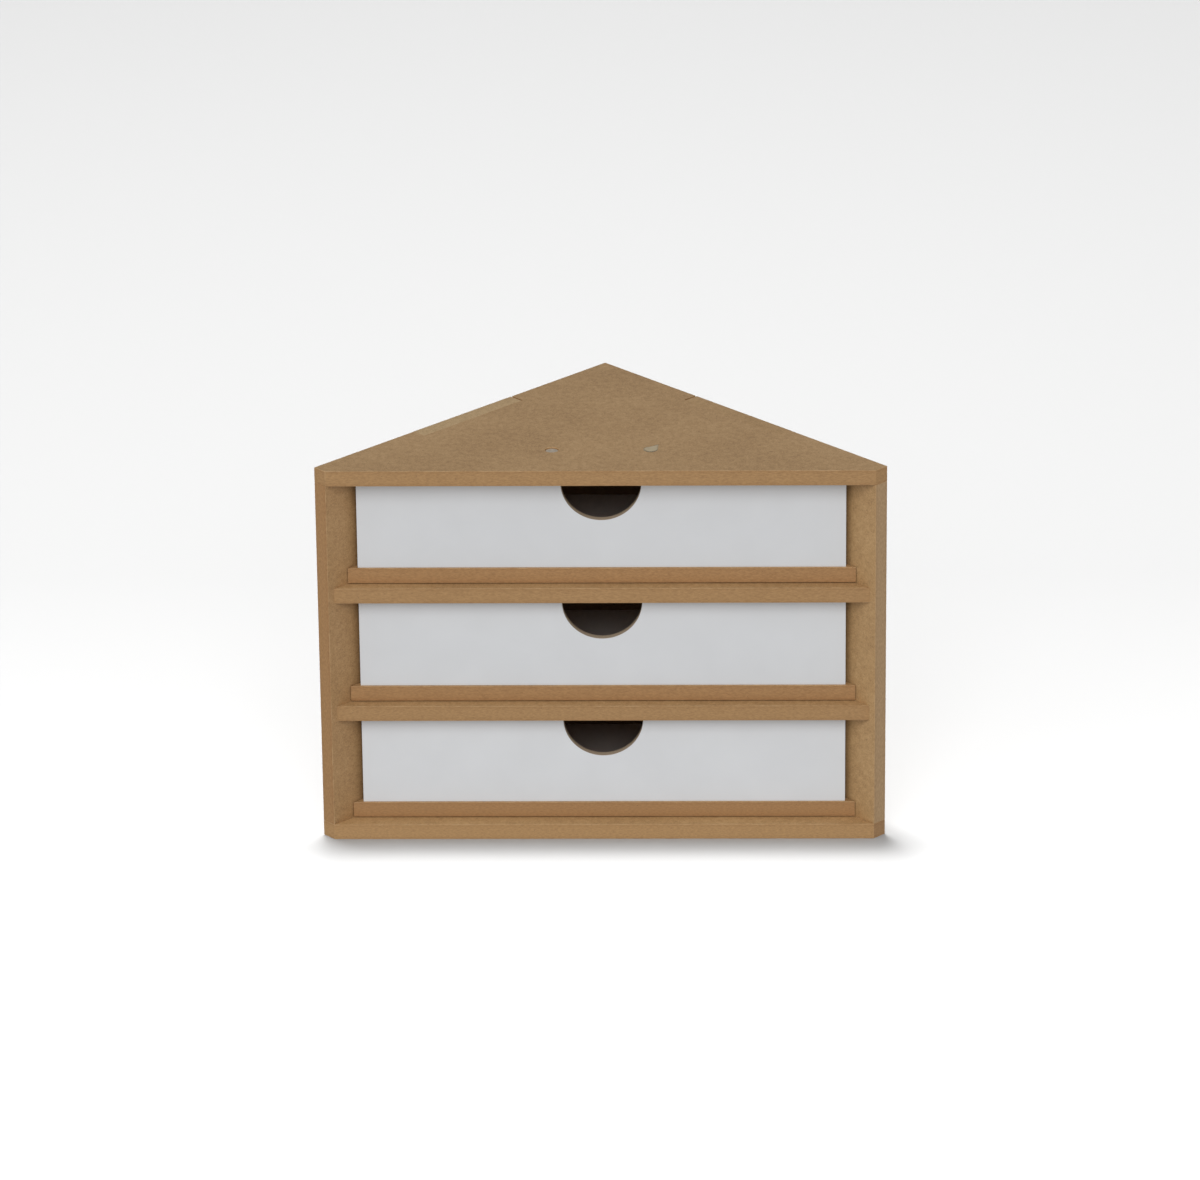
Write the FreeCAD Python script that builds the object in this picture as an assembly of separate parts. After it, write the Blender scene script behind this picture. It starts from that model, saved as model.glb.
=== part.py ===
import FreeCAD, Part
import math
import os

# Corner drawer module for a hobby bench: a glued case of MDF boards with a right angle at its back,
# and three drawers that pull out at the front.
# Millimetres, +Z up, drawers open towards -Y. The origin is on the bench, in the middle of the
# module's width and depth.

# Case boards
side_length = 150.0
case_height = 150.0
board_thickness = 6.0
shelf_setback = 2.0

# Tabs that lock the case boards into each other, each in the middle of a side
tab_length = 50.0
tab_slack = 0.8
corner_finger_length = 50.0

# Round magnets let into the boards
magnet_diameter = 5.0
magnet_thickness = 3.0
magnet_recess = 0.4
magnet_hole_clearance = 0.05
deck_magnet_spacing = 36.8
deck_magnet_setback = 21.1
side_magnet_spacing = 75.0

# Drawers
drawer_floor_thickness = 6.0
drawer_panel_thickness = 3.0
drawer_back_width = 40.0
drawer_setback = 6.5
drawer_side_clearance = 0.4
drawer_floor_clearance = 0.3
drawer_headroom = 1.7
front_setback = 0.8
finger_notch_radius = 15.0

# How far a cutting tool runs past the board that it cuts
overrun = 1.0

SHELVES = ["lower_shelf", "upper_shelf"]
DRAWERS = ["lower_drawer", "middle_drawer", "upper_drawer"]
SIDES = {"left": -1, "right": 1}
ROOT_TWO = math.sqrt(2)
UP = FreeCAD.Vector(0, 0, 1)

# Plan of the case: two sides meet at a right angle at the back, and the panels' square-cut ends
# leave a facet at each front corner
inner_half_width = (side_length - board_thickness) / ROOT_TWO
case_depth = (side_length + board_thickness) / ROOT_TWO
front_y = -case_depth / 2
back_y = case_depth / 2
corner_x = side_length / ROOT_TWO
corner_y = front_y + board_thickness / ROOT_TWO
inner_back_y = front_y + inner_half_width

# Heights: the shelves share the case out into equal bays
bay_height = (case_height - (len(DRAWERS) + 1) * board_thickness) / len(DRAWERS)
bay_pitch = bay_height + board_thickness
top_board_z = case_height - board_thickness
tab_start = (side_length - tab_length) / 2
tab_end = tab_start + tab_length

# The back corner is finger-jointed: the left panel has the middle finger, the right panel the ends
finger_low = (case_height - corner_finger_length) / 2
finger_high = finger_low + corner_finger_length
CORNER_FINGERS = {
    "left": [(finger_low, finger_high)],
    "right": [(board_thickness, finger_low), (finger_high, top_board_z)],
}

# Drawer sizes that follow from the bay
drawer_outline_half_width = inner_half_width - drawer_side_clearance * ROOT_TWO
drawer_front_y = front_y + drawer_setback
panel_face_y = drawer_front_y + front_setback
panel_back_y = panel_face_y + drawer_panel_thickness
drawer_back_y = front_y + drawer_outline_half_width - drawer_back_width / 2
back_wall_face_y = drawer_back_y - drawer_panel_thickness
panel_height = bay_height - drawer_floor_clearance - drawer_floor_thickness - drawer_headroom


def plate(points, z, thickness):
    """A flat board from its plan points, lying at height z."""
    corners = [FreeCAD.Vector(x, y, z) for x, y in points]
    outline = Part.makePolygon(corners + corners[:1])
    return Part.Face(outline).extrude(UP * thickness)


def side_point(side, along, inward):
    """Plan point of one side of the case: along its outer face from the front corner, then inward."""
    x = side * (corner_x - (along + inward) / ROOT_TWO)
    y = corner_y + (along - inward) / ROOT_TWO
    return x, y


def side_block(side, along, inward, z):
    """A block that lies along one side. Each of along, inward and z is a pair, from and to."""
    points = [
        side_point(side, along[0], inward[0]),
        side_point(side, along[1], inward[0]),
        side_point(side, along[1], inward[1]),
        side_point(side, along[0], inward[1]),
    ]
    return plate(points, z[0], z[1] - z[0])


def tab(side, z_low):
    """The part of a tab that fills the thickness of the board that it locks into."""
    z = (z_low, z_low + board_thickness)
    return side_block(side, (tab_start, tab_end), (0, board_thickness), z)


def tab_cut(side, z_low, outward, inward):
    """The notch or slot that takes a tab, with slack behind the tab."""
    along = (tab_start, tab_end + tab_slack)
    return side_block(side, along, (-outward, inward), (z_low, z_low + board_thickness))


def magnets(places, direction, depth, diameter, length):
    """Discs of one length, each starting at a depth below its place on the face."""
    discs = []
    for place in places:
        start = place + direction * depth
        discs.append(Part.makeCylinder(diameter / 2, length, start, direction))
    return discs


def magnet_discs(places, direction):
    """The magnets themselves, just under the face. The direction points into the board."""
    return magnets(places, direction, magnet_recess, magnet_diameter, magnet_thickness)


def drill_for_magnets(board, places, direction):
    """The board with a blind hole for each magnet."""
    diameter = magnet_diameter + 2 * magnet_hole_clearance
    length = overrun + magnet_recess + magnet_thickness
    for hole in magnets(places, direction, -overrun, diameter, length):
        board = board.cut(hole)
    return board


def deck_magnet_places(z):
    """Magnet centres on the top or base board, beside the middle of the width."""
    x = deck_magnet_spacing / 2
    y = front_y + deck_magnet_setback
    return [FreeCAD.Vector(-x, y, z), FreeCAD.Vector(x, y, z)]


def side_magnet_places(side):
    """Magnet centres on the outer face of one side panel, at half of the case's height."""
    places = []
    for offset in (-side_magnet_spacing / 2, side_magnet_spacing / 2):
        x, y = side_point(side, side_length / 2 + offset, 0)
        places.append(FreeCAD.Vector(x, y, case_height / 2))
    return places


def side_inward(side):
    """Unit vector into the case, square to one side."""
    return FreeCAD.Vector(-side / ROOT_TWO, -1 / ROOT_TWO, 0)


def deck(z, magnet_z, direction):
    """Top or base board: the whole plan of the case, notched for the side panels' tabs."""
    points = [
        (-inner_half_width, front_y),
        (inner_half_width, front_y),
        (corner_x, corner_y),
        (0, back_y),
        (-corner_x, corner_y),
    ]
    board = plate(points, z, board_thickness)
    for side in SIDES.values():
        board = board.cut(tab_cut(side, z, overrun, board_thickness))
    return drill_for_magnets(board, deck_magnet_places(magnet_z), direction)


def shelf(z):
    """A shelf between the side panels, with a tab through each of them."""
    y = front_y + shelf_setback
    half_width = inner_half_width - shelf_setback
    board = plate([(-half_width, y), (half_width, y), (0, inner_back_y)], z, board_thickness)
    for side in SIDES.values():
        board = board.fuse(tab(side, z))
    return board.removeSplitter()


def side_panel(name):
    """A side panel between top and base, with tabs into both and slots for the shelves."""
    side = SIDES[name]
    wall = (0, board_thickness)
    corner = side_length - board_thickness
    panel = side_block(side, (0, corner), wall, (board_thickness, top_board_z))
    joints = [tab(side, 0), tab(side, top_board_z)]
    for z in CORNER_FINGERS[name]:
        joints.append(side_block(side, (corner, side_length), wall, z))
    panel = panel.fuse(joints).removeSplitter()
    for level in range(len(SHELVES)):
        panel = panel.cut(tab_cut(side, shelf_z(level), overrun, board_thickness + overrun))
    return drill_for_magnets(panel, side_magnet_places(side), side_inward(side))


def shelf_z(level):
    """Underside of a shelf, counted from the lowest."""
    return board_thickness + bay_height + level * bay_pitch


def drawer_half_width(y):
    """Half of the drawer's width at one place along its depth, out to its slanting edges."""
    return drawer_outline_half_width - (y - front_y)


def crosswise(front_half_width, from_y, back_half_width, to_y):
    """Plan points of a board that lies across the module, evenly about its middle."""
    return [
        (-front_half_width, from_y),
        (front_half_width, from_y),
        (back_half_width, to_y),
        (-back_half_width, to_y),
    ]


def drawer_floor(z):
    """Drawer floor: its front edge stands proud of the white front as a lip."""
    wide = drawer_half_width(drawer_front_y)
    narrow = drawer_half_width(drawer_back_y)
    return plate(crosswise(wide, drawer_front_y, narrow, drawer_back_y), z, drawer_floor_thickness)


def drawer_front(z):
    """Square-cut front board with a half-round finger notch in its top edge."""
    half_width = drawer_half_width(panel_back_y)
    board = plate(crosswise(half_width, panel_face_y, half_width, panel_back_y), z, panel_height)
    start = FreeCAD.Vector(0, panel_face_y - overrun, z + panel_height)
    length = drawer_panel_thickness + 2 * overrun
    return board.cut(Part.makeCylinder(finger_notch_radius, length, start, FreeCAD.Vector(0, 1, 0)))


def drawer_side_wall(side, z):
    """Slanting wall along the floor's edge, from the front board to the back wall."""
    front_outer = side * drawer_half_width(panel_back_y)
    back_outer = side * drawer_half_width(back_wall_face_y)
    across = side * drawer_panel_thickness * ROOT_TWO
    points = [
        (front_outer, panel_back_y),
        (back_outer, back_wall_face_y),
        (back_outer - across, back_wall_face_y),
        (front_outer - across, panel_back_y),
    ]
    return plate(points, z, panel_height)


def drawer_back_wall(z):
    """Back wall, its ends bevelled to the floor's slanting edges."""
    wide = drawer_half_width(back_wall_face_y)
    narrow = drawer_half_width(drawer_back_y)
    return plate(crosswise(wide, back_wall_face_y, narrow, drawer_back_y), z, panel_height)


def drawer_parts(name, level):
    """The five boards of one drawer, resting just above the board below it."""
    floor_z = board_thickness + level * bay_pitch + drawer_floor_clearance
    wall_z = floor_z + drawer_floor_thickness
    return {
        name + "_floor": drawer_floor(floor_z),
        name + "_front": drawer_front(wall_z),
        name + "_left_wall": drawer_side_wall(SIDES["left"], wall_z),
        name + "_right_wall": drawer_side_wall(SIDES["right"], wall_z),
        name + "_back_wall": drawer_back_wall(wall_z),
    }


def case_parts():
    """The glued case and the magnets in it."""
    parts = {
        "base_board": deck(0, 0, UP),
        "top_board": deck(top_board_z, case_height, -UP),
        "base_magnets": Part.makeCompound(magnet_discs(deck_magnet_places(0), UP)),
        "top_magnets": Part.makeCompound(magnet_discs(deck_magnet_places(case_height), -UP)),
    }
    for name, side in SIDES.items():
        discs = magnet_discs(side_magnet_places(side), side_inward(side))
        parts[name + "_side_panel"] = side_panel(name)
        parts[name + "_side_magnets"] = Part.makeCompound(discs)
    for level, name in enumerate(SHELVES):
        parts[name] = shelf(shelf_z(level))
    return parts


os.makedirs("parts", exist_ok=True)
module = case_parts()
for level, name in enumerate(DRAWERS):
    module.update(drawer_parts(name, level))
for name, shape in module.items():
    shape.exportStep("parts/" + name + ".step")
    print(name, "solids", len(shape.Solids), "volume", round(shape.Volume, 1), "valid", shape.isValid())
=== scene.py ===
# %% [markdown]
# This notebook dresses a corner drawer module: a three-sided cabinet of raw fibreboard that stands
# on a hobby bench, with three white drawers. Every board is a flat sheet, cut to an outline and
# glued to its neighbours with tabs. So each board is modelled here as it is made: a sheet is laid
# out, sawn, notched, given its thickness and sanded at its edges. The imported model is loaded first
# as a fixed frame, because every size and place comes from it.

# %% Load the frame
import math
import random

import bmesh
import bpy
from mathutils import Matrix, Vector


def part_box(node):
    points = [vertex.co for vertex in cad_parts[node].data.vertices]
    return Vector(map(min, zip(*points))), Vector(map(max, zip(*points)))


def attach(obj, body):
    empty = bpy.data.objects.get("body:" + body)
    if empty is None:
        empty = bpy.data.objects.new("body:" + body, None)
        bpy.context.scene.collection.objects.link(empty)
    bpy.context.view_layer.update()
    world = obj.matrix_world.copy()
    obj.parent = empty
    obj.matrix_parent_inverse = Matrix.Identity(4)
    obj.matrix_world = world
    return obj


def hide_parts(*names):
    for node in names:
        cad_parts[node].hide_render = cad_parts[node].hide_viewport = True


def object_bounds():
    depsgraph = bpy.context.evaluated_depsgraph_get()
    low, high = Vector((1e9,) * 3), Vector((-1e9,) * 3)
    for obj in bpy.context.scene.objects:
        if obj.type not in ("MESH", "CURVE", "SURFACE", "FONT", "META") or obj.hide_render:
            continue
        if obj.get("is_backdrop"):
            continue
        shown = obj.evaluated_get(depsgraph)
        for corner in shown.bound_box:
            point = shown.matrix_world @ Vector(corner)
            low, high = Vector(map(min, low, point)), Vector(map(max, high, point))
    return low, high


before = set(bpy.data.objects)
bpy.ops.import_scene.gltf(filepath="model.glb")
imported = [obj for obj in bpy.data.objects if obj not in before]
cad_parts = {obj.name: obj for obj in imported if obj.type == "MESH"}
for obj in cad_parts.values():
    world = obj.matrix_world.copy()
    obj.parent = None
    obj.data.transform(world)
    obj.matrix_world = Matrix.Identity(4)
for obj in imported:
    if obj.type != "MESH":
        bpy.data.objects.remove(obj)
cad_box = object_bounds()

# %% [markdown]
# Blender works in metres here. The case's own sizes are read from the frame's boxes: the plan is
# half of a square that stands on its corner, so its width is the side's length times root two.
# Only what a box can't tell, such as where a tab sits, is written as a size of its own. The first
# few values say how close two places have to be to count as one, or as near each other.

# %% Sizes of the case
MM = 0.001
SAME_PLACE = 0.001 * MM
TOO_CLOSE = 0.01 * MM
NEAR = 0.1 * MM
ALMOST_SQUARE_ON = 0.9
ROOT_TWO = math.sqrt(2)
QUARTER_TURN = math.pi / 2
EIGHTH_TURN = math.pi / 4
UP = Vector((0, 0, 1))
RIGHTWARDS = Vector((1, 0, 0))
BACKWARDS = Vector((0, 1, 0))
SIDES = {"left": -1, "right": 1}

low, high = cad_box
front_y = low.y
back_y = high.y
corner_x = high.x
case_height = high.z
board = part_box("base_board")[1].z
side_length = corner_x * ROOT_TWO
corner_y = front_y + board / ROOT_TWO
inner_back_y = back_y - board * ROOT_TWO
shelf_front_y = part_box("lower_shelf")[0].y
shelf_levels = {name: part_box(name)[0].z for name in ("lower_shelf", "upper_shelf")}

tab_length = 50 * MM
tab_slack = 0.8 * MM
corner_finger_length = 50 * MM
tab_start = (side_length - tab_length) / 2
tab_end = tab_start + tab_length


def in_mm(length, digits=1):
    return round(length / MM, digits)


print("side", in_mm(side_length), "mm, height", in_mm(case_height), "mm, board", in_mm(board), "mm")

# %% [markdown]
# The photograph looks down at the module from far away with a long lens, almost square to the
# front. The camera's place and turn were found by fitting the case's corners, and are given here as
# where it stands, what it looks along and which way its right side points.

# %% Camera
CAMERA_PLACE = Vector((0.0515, -2.4650, 1.1324))
CAMERA_RIGHT = Vector((0.99980054, 0.01743228, -0.00974689))
CAMERA_UP = Vector((0.0021095, 0.3931227, 0.9194836))
LENS_LENGTH = 211.44
SENSOR_WIDTH = 36.0

lens = bpy.data.cameras.new("long_lens")
lens.lens = LENS_LENGTH
lens.sensor_width = SENSOR_WIDTH
camera = bpy.data.objects.new("camera", lens)
bpy.context.scene.collection.objects.link(camera)
backward = CAMERA_RIGHT.cross(CAMERA_UP).normalized()
upward = backward.cross(CAMERA_RIGHT).normalized()
turn = Matrix((CAMERA_RIGHT.normalized(), upward, backward)).transposed()
camera.matrix_world = Matrix.Translation(CAMERA_PLACE) @ turn.to_4x4()
bpy.context.scene.camera = camera
front_middle = Vector((0, front_y, case_height / 2))
print("camera", round((CAMERA_PLACE - front_middle).length, 2), "m from the front")

# %% [markdown]
# In edit mode an operator works on whatever is selected, so a few small helpers do what a hand does
# with the mouse: make one object the only one selected, and pick faces or edges by a test on their
# middle point. With them, each later step reads like the work at a bench.

# %% Helpers that select
def only(piece):
    """Leaves one object selected and active, in object mode."""
    if bpy.context.mode != "OBJECT":
        bpy.ops.object.mode_set(mode="OBJECT")
    bpy.ops.object.select_all(action="DESELECT")
    piece.select_set(True)
    bpy.context.view_layer.objects.active = piece


def open_mesh(piece, kind="FACE"):
    """Opens one object in edit mode with nothing selected."""
    only(piece)
    bpy.ops.object.mode_set(mode="EDIT")
    bpy.ops.mesh.select_mode(type=kind)
    bpy.ops.mesh.select_all(action="DESELECT")


def close_mesh():
    bpy.ops.object.mode_set(mode="OBJECT")


def pick(piece, kind, test):
    """Selects the faces or edges whose middle passes the test, and counts them."""
    bpy.ops.mesh.select_mode(type=kind)
    bpy.ops.mesh.select_all(action="DESELECT")
    mesh = bmesh.from_edit_mesh(piece.data)
    parts = mesh.faces if kind == "FACE" else mesh.edges
    count = 0
    for part in parts:
        points = [v.co for v in part.verts]
        middle = sum(points, Vector()) / len(points)
        if test(middle):
            part.select = True
            count += 1
    mesh.select_flush_mode()
    bmesh.update_edit_mesh(piece.data)
    return count


# %% [markdown]
# Every board starts as a flat sheet, added at its size and place and turned to lie or stand where
# it belongs. Its place goes into the mesh at once, so the object itself stays at the origin.
# A saw line is a bisect across the whole sheet: it either only marks the line, so that faces on
# one side of it can be picked later, or throws the waste away.

# %% Helpers that cut sheets
def sheet(name, size, centre, turn):
    """A rectangle of sheet material, turned by three angles about its centre."""
    bpy.ops.object.select_all(action="DESELECT")
    bpy.ops.mesh.primitive_plane_add(size=1, location=centre, rotation=turn)
    piece = bpy.context.active_object
    piece.name = name
    piece.data.name = name
    piece.scale = (size[0], size[1], 1)
    bpy.ops.object.transform_apply(location=True, rotation=True, scale=True)
    return piece


def saw(piece, point, normal, discard=False, fill=False):
    """A straight cut through the whole piece. What the normal points at is thrown away on request."""
    open_mesh(piece)
    bpy.ops.mesh.select_all(action="SELECT")
    bpy.ops.mesh.bisect(
        plane_co=point,
        plane_no=normal,
        use_fill=fill,
        clear_outer=discard,
        threshold=SAME_PLACE,
    )
    close_mesh()


def knock_out(piece, test):
    """Removes the faces between saw lines whose middle passes the test."""
    open_mesh(piece)
    pick(piece, "FACE", test)
    bpy.ops.mesh.delete(type="FACE")
    close_mesh()


def grow_edge(piece, test, move):
    """Pulls the picked edges out into new faces, as a tab is left standing on a board."""
    open_mesh(piece, "EDGE")
    pick(piece, "EDGE", test)
    bpy.ops.mesh.extrude_edges_move(TRANSFORM_OT_translate={"value": move})
    close_mesh()


def thicken(piece, move):
    """Gives a flat outline its thickness. The saw lines stay in it as flat seams that never show."""
    open_mesh(piece)
    bpy.ops.mesh.select_all(action="SELECT")
    bpy.ops.mesh.remove_doubles(threshold=SAME_PLACE)
    bpy.ops.mesh.extrude_region_move(TRANSFORM_OT_translate={"value": move})
    bpy.ops.mesh.select_all(action="SELECT")
    bpy.ops.mesh.normals_make_consistent(inside=False)
    close_mesh()


# %% [markdown]
# The two slanting sides are easiest to think of in their own terms: how far along the side from its
# front corner, how deep into the case and how high. These two helpers turn such a place into a point
# and back, for either side, so that tabs, slots and magnets share one description.

# %% Places along a side
def side_point(side, along, inward, z):
    """The point that lies so far along a side, so deep into the case and so high."""
    x = side * (corner_x - (along + inward) / ROOT_TWO)
    y = corner_y + (along - inward) / ROOT_TWO
    return Vector((x, y, z))


def side_place(side, point):
    """How far along a side, how deep into the case and how high a point lies."""
    across = corner_x - side * point.x
    ahead = point.y - corner_y
    return (across + ahead) / ROOT_TWO, (across - ahead) / ROOT_TWO, point.z


def side_direction(side):
    """Unit vector along a side, from the front corner to the back corner."""
    return Vector((-side, 1, 0)) / ROOT_TWO


def side_inward(side):
    """Unit vector into the case, square to a side."""
    return Vector((-side, -1, 0)) / ROOT_TWO


def between(value, span):
    return span[0] < value < span[1]


print("tabs from", in_mm(tab_start), "to", in_mm(tab_end), "mm along each side")

# %% [markdown]
# The top and base are the whole plan of the case. A square of board is laid on its corner, with the
# corner at the back, and sawn off along the front. The two small facets at the front corners come
# by themselves: they are the first few millimetres of the square's other two sides. Both boards are
# then notched for the tabs of the side panels. A boolean could cut the notches too, but saw lines
# and a knocked-out face are how a flat sheet is really cut, and they leave a cleaner mesh.

# %% Top and base boards
tab_notch = (tab_start, tab_end + tab_slack)


def in_notch(middle):
    for side in SIDES.values():
        along, inward, _ = side_place(side, middle)
        if between(along, tab_notch) and inward < board:
            return True
    return False


def deck(name, z):
    """Top or base board, notched for the side panels' tabs."""
    centre = (0, back_y - side_length / ROOT_TWO, z)
    piece = sheet(name, (side_length, side_length), centre, (0, 0, EIGHTH_TURN))
    saw(piece, (0, front_y, 0), (0, -1, 0), discard=True)
    for side in SIDES.values():
        for along in tab_notch:
            saw(piece, side_point(side, along, 0, z), side_direction(side))
        saw(piece, side_point(side, 0, board, z), side_inward(side))
    knock_out(piece, in_notch)
    thicken(piece, UP * board)
    return piece


boards = {"base_board": deck("base", 0), "top_board": deck("top", case_height - board)}
for node, piece in boards.items():
    print(node, len(piece.data.polygons), "faces")

# %% [markdown]
# A shelf is a smaller right angle that fits between the side panels. Its tabs are left standing on
# the slanting edges: two saw lines mark the stretch of edge, and that edge is pulled out by one
# board's thickness, so that the tab ends flush with the outside of the panel.

# %% Shelves
def shelf(name):
    """A shelf with one tab on each slanting edge."""
    z = shelf_levels[name]
    reach = side_length - board
    centre = (0, inner_back_y - reach / ROOT_TWO, z)
    piece = sheet(name + "_sheet", (reach, reach), centre, (0, 0, EIGHTH_TURN))
    saw(piece, (0, shelf_front_y, 0), (0, -1, 0), discard=True)
    for side in SIDES.values():
        for along in (tab_start, tab_end):
            saw(piece, side_point(side, along, 0, z), side_direction(side))
    for side in SIDES.values():
        def on_tab_edge(middle):
            along, inward, _ = side_place(side, middle)
            return between(along, (tab_start, tab_end)) and abs(inward - board) < NEAR
        grow_edge(piece, on_tab_edge, -side_inward(side) * board)
    thicken(piece, UP * board)
    return piece


for name in shelf_levels:
    boards[name] = shelf(name)
    print(name, len(boards[name].data.polygons), "faces")

# %% [markdown]
# A side panel stands between top and base. It has a tab at the top and one at the bottom, two slots
# that the shelves' tabs come through, and fingers at the back corner, where the two panels meet at
# a right angle. The left panel has the middle finger and the right panel has the two outer ones.

# %% Side panels
finger_low = (case_height - corner_finger_length) / 2
finger_high = finger_low + corner_finger_length
FINGERS = {
    "left": [(finger_low, finger_high)],
    "right": [(board, finger_low), (finger_high, case_height - board)],
}


def in_slot(side, middle):
    along, _, z = side_place(side, middle)
    level = any(between(z, (low_z, low_z + board)) for low_z in shelf_levels.values())
    return level and between(along, tab_notch)


def side_panel(name):
    """One of the two slanting walls, with its tabs, slots and corner fingers."""
    side = SIDES[name]
    run = side_length - board
    centre = side_point(side, run / 2, 0, case_height / 2)
    turn = (QUARTER_TURN, 0, -side * EIGHTH_TURN)
    piece = sheet(name + "_side", (run, case_height - 2 * board), centre, turn)
    for along in (tab_start, tab_end, tab_end + tab_slack):
        saw(piece, side_point(side, along, 0, 0), side_direction(side))
    levels = [finger_low, finger_high]
    for z in shelf_levels.values():
        levels += [z, z + board]
    for z in levels:
        saw(piece, (0, 0, z), UP)
    knock_out(piece, lambda middle: in_slot(side, middle))

    def on_deck_edge(middle, z):
        along, _, _ = side_place(side, middle)
        return between(along, (tab_start, tab_end)) and abs(middle.z - z) < NEAR

    def on_corner_edge(middle):
        along, _, _ = side_place(side, middle)
        at_end = abs(along - run) < NEAR
        return at_end and any(between(middle.z, span) for span in FINGERS[name])

    grow_edge(piece, lambda middle: on_deck_edge(middle, board), -UP * board)
    grow_edge(piece, lambda middle: on_deck_edge(middle, case_height - board), UP * board)
    grow_edge(piece, on_corner_edge, side_direction(side) * board)
    thicken(piece, side_inward(side) * board)
    return piece


for name in SIDES:
    boards[name + "_side_panel"] = side_panel(name)
    print(name, "panel", len(boards[name + "_side_panel"].data.polygons), "faces")

# %% [markdown]
# The magnets sit in blind holes. Drilling is the one cut that a saw can't make, so a cylinder is
# set where the drill would go and taken away with a Boolean modifier, which is then applied.

# %% Holes for the magnets
MAGNET_NODES = {
    "base_magnets": ("base_board", UP),
    "top_magnets": ("top_board", -UP),
    "left_side_magnets": ("left_side_panel", side_inward(-1)),
    "right_side_magnets": ("right_side_panel", side_inward(1)),
}
magnet_thickness = 3 * MM
magnet_hole_clearance = 0.05 * MM
top_magnet_low, top_magnet_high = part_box("top_magnets")
magnet_radius = (top_magnet_high.y - top_magnet_low.y) / 2
magnet_recess = case_height - top_magnet_high.z
deck_magnet_x = top_magnet_high.x - magnet_radius
deck_magnet_y = (top_magnet_low.y + top_magnet_high.y) / 2
side_magnet_spacing = 75 * MM
BORE_STEPS = 64
NOTCH_STEPS = 128


def magnet_places(node):
    """Where a node's two magnets come to the face of their board."""
    if node in ("base_magnets", "top_magnets"):
        z = 0 if node == "base_magnets" else case_height
        return [Vector((x, deck_magnet_y, z)) for x in (-deck_magnet_x, deck_magnet_x)]
    side = SIDES[node.split("_")[0]]
    middle = side_length / 2
    offsets = (-side_magnet_spacing / 2, side_magnet_spacing / 2)
    return [side_point(side, middle + offset, 0, case_height / 2) for offset in offsets]


def rod(name, place, direction, radius, span, steps=BORE_STEPS):
    """A round bar whose axis runs from span[0] to span[1] along a direction, counted from a place."""
    bpy.ops.object.select_all(action="DESELECT")
    bpy.ops.mesh.primitive_cylinder_add(
        vertices=steps,
        radius=radius,
        depth=span[1] - span[0],
        location=place + direction * (span[0] + span[1]) / 2,
        rotation=direction.to_track_quat("Z", "Y").to_euler(),
    )
    piece = bpy.context.active_object
    piece.name = name
    bpy.ops.object.transform_apply(location=True, rotation=True, scale=True)
    return piece


def take_away(piece, tool):
    """Cuts one mesh out of another, removes the tool and merges corners that the cut left too close."""
    only(piece)
    cut = piece.modifiers.new("cut", "BOOLEAN")
    cut.operation = "DIFFERENCE"
    cut.solver = "EXACT"
    cut.object = tool
    bpy.ops.object.modifier_apply(modifier=cut.name)
    bpy.data.objects.remove(tool)
    open_mesh(piece)
    bpy.ops.mesh.select_all(action="SELECT")
    bpy.ops.mesh.remove_doubles(threshold=TOO_CLOSE)
    close_mesh()


hole_radius = magnet_radius + magnet_hole_clearance
hole_span = (-MM, magnet_recess + magnet_thickness)
for node, (carrier, inward) in MAGNET_NODES.items():
    for place in magnet_places(node):
        take_away(boards[carrier], rod("drill", place, inward, hole_radius, hole_span))
print("magnets", in_mm(2 * magnet_radius), "mm across and", in_mm(magnet_recess), "mm below the face")

# %% [markdown]
# Each drawer is a shallow wedge-shaped tray: a thick floor whose front edge stands out as a lip, a
# white front, two slanting walls and a short back wall. Inside the walls the floor is covered with a
# sheet of white laminate, which stands in for the dim grey light seen through the finger notches: a
# pale sheet as painted light. One drawer is modelled in the lowest bay, and its pieces are copied up,
# each copy with its own mesh, so that every drawer can slide alone.

# %% Sizes of a drawer
DRAWERS = ["lower_drawer", "middle_drawer", "upper_drawer"]
floor_low, floor_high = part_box("lower_drawer_floor")
front_low, front_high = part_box("lower_drawer_front")
back_wall_low, back_wall_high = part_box("lower_drawer_back_wall")
drawer_apex_y = floor_low.y + floor_high.x
panel = front_high.y - front_low.y
panel_height = front_high.z - front_low.z
bay_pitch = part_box("middle_drawer_floor")[0].z - floor_low.z
finger_notch_radius = 15 * MM
laminate = 0.25 * MM
lining_gap = 0.2 * MM


def drawer_half_width(y):
    """Half of the drawer's width at one place, out to its slanting edges."""
    return drawer_apex_y - y


print("drawer", in_mm(2 * floor_high.x), "mm wide and", in_mm(floor_high.y - floor_low.y), "mm deep")

# %% [markdown]
# The walls meet the front and the back at 45 degrees. They are made as a joiner would mitre them:
# cut too long, and then sawn to length on the planes of their neighbours, with the cut filled. The
# floor and its lining have the same shape, a right angle cut off in front and behind, so one
# function makes both.

# %% Drawer floor and walls
def wedge(name, apex_y, from_y, to_y, z, thickness):
    """A board with two slanting sides that would meet at a right angle, cut off in front and behind."""
    side = (apex_y - front_y) * ROOT_TWO
    piece = sheet(name, (side, side), (0, front_y, z), (0, 0, EIGHTH_TURN))
    saw(piece, (0, from_y, 0), (0, -1, 0), discard=True)
    saw(piece, (0, to_y, 0), (0, 1, 0), discard=True)
    thicken(piece, UP * thickness)
    return piece


def drawer_floor():
    thickness = floor_high.z - floor_low.z
    return wedge("floor", drawer_apex_y, floor_low.y, floor_high.y, floor_low.z, thickness)


# A white sheet on the floor inside the walls. It stands in for the dim grey light seen inside the
# drawer through the finger notch: painted light.
def floor_lining_as_painted_light():
    inner_apex_y = drawer_apex_y - (panel + lining_gap) * ROOT_TWO
    from_y = front_high.y + lining_gap
    to_y = back_wall_low.y - lining_gap
    return wedge("lining", inner_apex_y, from_y, to_y, floor_high.z, laminate)


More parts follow.
